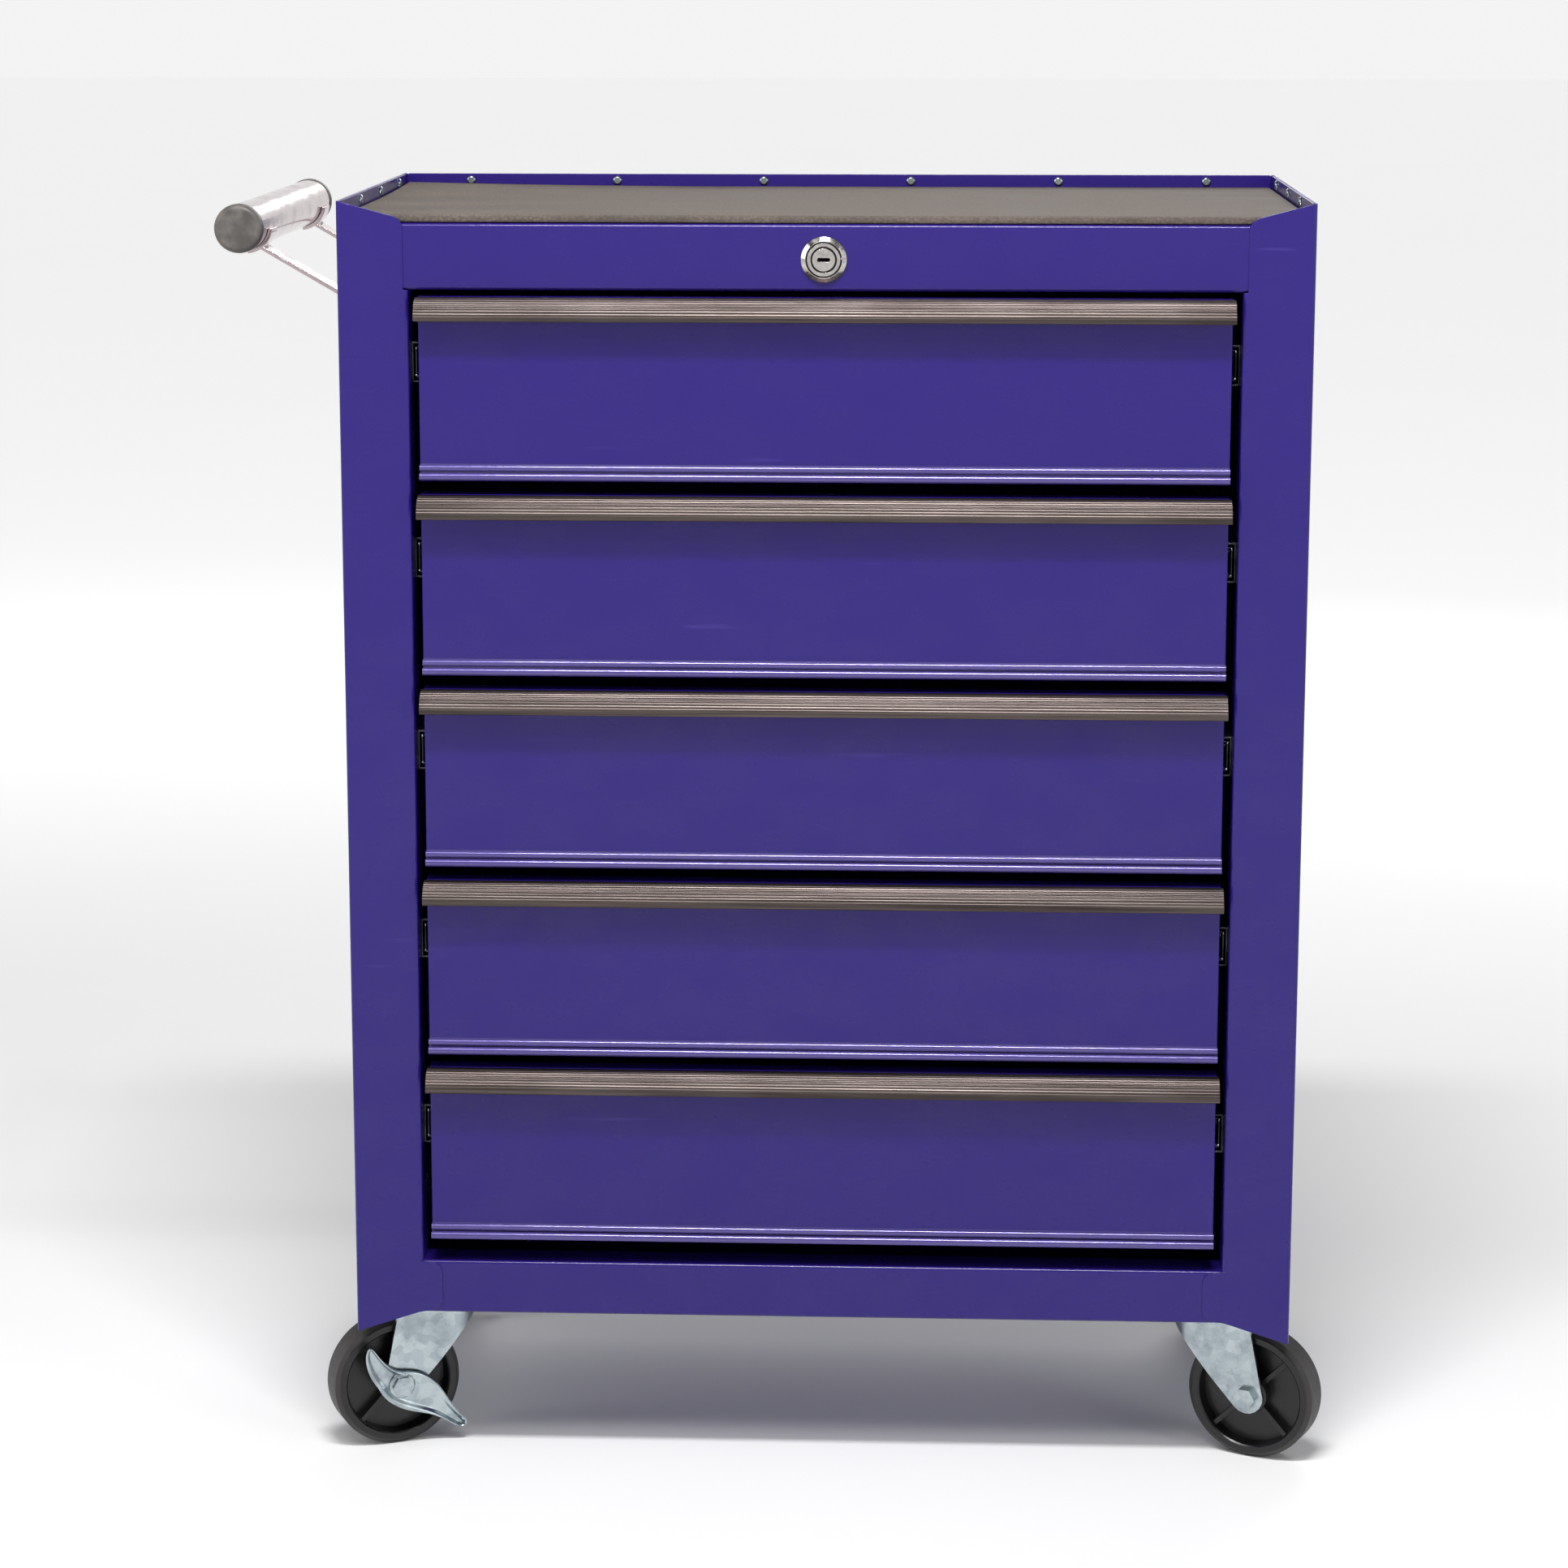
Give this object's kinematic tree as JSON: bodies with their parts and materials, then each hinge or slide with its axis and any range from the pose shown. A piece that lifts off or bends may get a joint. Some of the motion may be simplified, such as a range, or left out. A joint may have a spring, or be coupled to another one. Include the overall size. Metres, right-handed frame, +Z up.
{
  "type": "rolling tool chest",
  "caption": "Sheet-steel rolling cabinet with full-width drawers on ball slides, a matted top tray, a side push handle, a central key lock and swivel casters.",
  "frame": {"origin": "on the floor, under the centre of the whole object's bounding box; the cabinet's own centre line is 27.8 mm towards +X and 6.5 mm towards +Y because the handle and the grips stick out", "axes": "+Z up; -Y out of the drawer fronts, towards the user; +X to the right of a user who faces the drawers, away from the push handle"},
  "size_m": [0.7216, 0.343, 0.835],
  "materials": {
    "body_paint": "semi-gloss violet-blue powder coat",
    "tray_mat": "matt grey-brown foam rubber, finely textured",
    "drawer_grip": "dark grey anodised extrusion with fine ribs",
    "zinc_steel": "bright zinc plate",
    "handle_chrome": "polished chrome plate",
    "lock_chrome": "bright nickel chrome",
    "dark_plastic": "moulded dark grey plastic",
    "wheel_black": "black moulded polypropylene",
    "drawer_liner": "matt black ribbed liner"
  },
  "bodies": {
    "cabinet": {"left_side_panel": "body_paint", "right_side_panel": "body_paint", "back_panel": "body_paint", "bottom_panel": "body_paint", "top_tray": "body_paint", "top_rail": "body_paint", "bottom_rail": "body_paint", "tray_mat": "tray_mat", "rear_posts": "body_paint", "cabinet_slides": "zinc_steel", "caster_plates": "zinc_steel", "cabinet_fasteners": "zinc_steel", "handle_tube": "handle_chrome", "handle_end_caps": "dark_plastic", "handle_brackets": "handle_chrome", "lock_housing": "lock_chrome", "lock_guides": "zinc_steel"},
    "lock_barrel": {"lock_plug": "lock_chrome", "lock_rod": "zinc_steel"},
    "lock_bar": {"lock_bar": "zinc_steel"},
    "drawer_1": {"drawer_1_box": "body_paint", "drawer_1_front": "body_paint", "drawer_1_grip": "drawer_grip", "drawer_1_slides": "zinc_steel", "drawer_1_liner": "drawer_liner"},
    "middle_slides_1": {"middle_slides_1": "zinc_steel"},
    "drawer_2": {"drawer_2_box": "body_paint", "drawer_2_front": "body_paint", "drawer_2_grip": "drawer_grip", "drawer_2_slides": "zinc_steel", "drawer_2_liner": "drawer_liner"},
    "middle_slides_2": {"middle_slides_2": "zinc_steel"},
    "drawer_3": {"drawer_3_box": "body_paint", "drawer_3_front": "body_paint", "drawer_3_grip": "drawer_grip", "drawer_3_slides": "zinc_steel", "drawer_3_liner": "drawer_liner"},
    "middle_slides_3": {"middle_slides_3": "zinc_steel"},
    "drawer_4": {"drawer_4_box": "body_paint", "drawer_4_front": "body_paint", "drawer_4_grip": "drawer_grip", "drawer_4_slides": "zinc_steel", "drawer_4_liner": "drawer_liner"},
    "middle_slides_4": {"middle_slides_4": "zinc_steel"},
    "drawer_5": {"drawer_5_box": "body_paint", "drawer_5_front": "body_paint", "drawer_5_grip": "drawer_grip", "drawer_5_slides": "zinc_steel", "drawer_5_liner": "drawer_liner"},
    "middle_slides_5": {"middle_slides_5": "zinc_steel"},
    "front_right_fork": {"front_right_fork": "zinc_steel"},
    "front_right_wheel": {"front_right_wheel": "wheel_black"},
    "front_left_fork": {"front_left_fork": "zinc_steel"},
    "front_left_wheel": {"front_left_wheel": "wheel_black"},
    "front_left_brake": {"front_left_brake": "zinc_steel"},
    "rear_right_fork": {"rear_right_fork": "zinc_steel"},
    "rear_right_wheel": {"rear_right_wheel": "wheel_black"},
    "rear_left_fork": {"rear_left_fork": "zinc_steel"},
    "rear_left_wheel": {"rear_left_wheel": "wheel_black"},
    "rear_left_brake": {"rear_left_brake": "zinc_steel"}
  },
  "joints": [
    {"name": "drawer_1_slide", "type": "slide", "parent": "cabinet", "child": "drawer_1", "axis": [0, -1, 0], "range_m": [0, 0.26]},
    {"name": "middle_slides_1_slide", "type": "slide", "parent": "cabinet", "child": "middle_slides_1", "axis": [0, -1, 0], "range_m": [0, 0.13]},
    {"name": "drawer_2_slide", "type": "slide", "parent": "cabinet", "child": "drawer_2", "axis": [0, -1, 0], "range_m": [0, 0.26]},
    {"name": "middle_slides_2_slide", "type": "slide", "parent": "cabinet", "child": "middle_slides_2", "axis": [0, -1, 0], "range_m": [0, 0.13]},
    {"name": "drawer_3_slide", "type": "slide", "parent": "cabinet", "child": "drawer_3", "axis": [0, -1, 0], "range_m": [0, 0.26]},
    {"name": "middle_slides_3_slide", "type": "slide", "parent": "cabinet", "child": "middle_slides_3", "axis": [0, -1, 0], "range_m": [0, 0.13]},
    {"name": "drawer_4_slide", "type": "slide", "parent": "cabinet", "child": "drawer_4", "axis": [0, -1, 0], "range_m": [0, 0.26]},
    {"name": "middle_slides_4_slide", "type": "slide", "parent": "cabinet", "child": "middle_slides_4", "axis": [0, -1, 0], "range_m": [0, 0.13]},
    {"name": "drawer_5_slide", "type": "slide", "parent": "cabinet", "child": "drawer_5", "axis": [0, -1, 0], "range_m": [0, 0.26]},
    {"name": "middle_slides_5_slide", "type": "slide", "parent": "cabinet", "child": "middle_slides_5", "axis": [0, -1, 0], "range_m": [0, 0.13]},
    {"name": "lock_turn", "type": "hinge", "parent": "cabinet", "child": "lock_barrel", "pos_m": [0.02779, -0.1585, 0.799], "axis": [0, -1, 0], "range_deg": [-90, 0]},
    {"name": "lock_bar_drop", "type": "slide", "parent": "cabinet", "child": "lock_bar", "axis": [0, 0, 1], "range_m": [-0.0065, 0]},
    {"name": "swivel_front_right", "type": "hinge", "parent": "cabinet", "child": "front_right_fork", "pos_m": [0.29129, -0.1085, 0.094], "axis": [0, 0, 1], "continuous": true},
    {"name": "wheel_front_right", "type": "hinge", "parent": "front_right_fork", "child": "front_right_wheel", "pos_m": [0.31758, -0.12076, 0.0435], "axis": [0.4226, 0.9063, 0], "continuous": true},
    {"name": "swivel_front_left", "type": "hinge", "parent": "cabinet", "child": "front_left_fork", "pos_m": [-0.23571, -0.1085, 0.094], "axis": [0, 0, 1], "continuous": true},
    {"name": "wheel_front_left", "type": "hinge", "parent": "front_left_fork", "child": "front_left_wheel", "pos_m": [-0.26199, -0.12076, 0.0435], "axis": [0.4226, -0.9063, 0], "continuous": true},
    {"name": "toe_brake_front_left", "type": "hinge", "parent": "front_left_fork", "child": "front_left_brake", "pos_m": [-0.26199, -0.12076, 0.0435], "axis": [0.4226, -0.9063, 0], "range_deg": [0, 25]},
    {"name": "swivel_rear_right", "type": "hinge", "parent": "cabinet", "child": "rear_right_fork", "pos_m": [0.29129, 0.1215, 0.094], "axis": [0, 0, 1], "continuous": true},
    {"name": "wheel_rear_right", "type": "hinge", "parent": "rear_right_fork", "child": "rear_right_wheel", "pos_m": [0.31758, 0.13376, 0.0435], "axis": [-0.4226, 0.9063, 0], "continuous": true},
    {"name": "swivel_rear_left", "type": "hinge", "parent": "cabinet", "child": "rear_left_fork", "pos_m": [-0.23571, 0.1215, 0.094], "axis": [0, 0, 1], "continuous": true},
    {"name": "wheel_rear_left", "type": "hinge", "parent": "rear_left_fork", "child": "rear_left_wheel", "pos_m": [-0.26199, 0.13376, 0.0435], "axis": [-0.4226, -0.9063, 0], "continuous": true},
    {"name": "toe_brake_rear_left", "type": "hinge", "parent": "rear_left_fork", "child": "rear_left_brake", "pos_m": [-0.26199, 0.13376, 0.0435], "axis": [-0.4226, -0.9063, 0], "range_deg": [0, 25]}
  ],
  "couplings": [
    {"joint": "middle_slides_1_slide", "follows": "drawer_1_slide", "ratio": 0.5},
    {"joint": "middle_slides_2_slide", "follows": "drawer_2_slide", "ratio": 0.5},
    {"joint": "middle_slides_3_slide", "follows": "drawer_3_slide", "ratio": 0.5},
    {"joint": "middle_slides_4_slide", "follows": "drawer_4_slide", "ratio": 0.5},
    {"joint": "middle_slides_5_slide", "follows": "drawer_5_slide", "ratio": 0.5},
    {"joint": "lock_turn", "follows": "lock_bar_drop", "rad_per_m": 241.66}
  ]
}
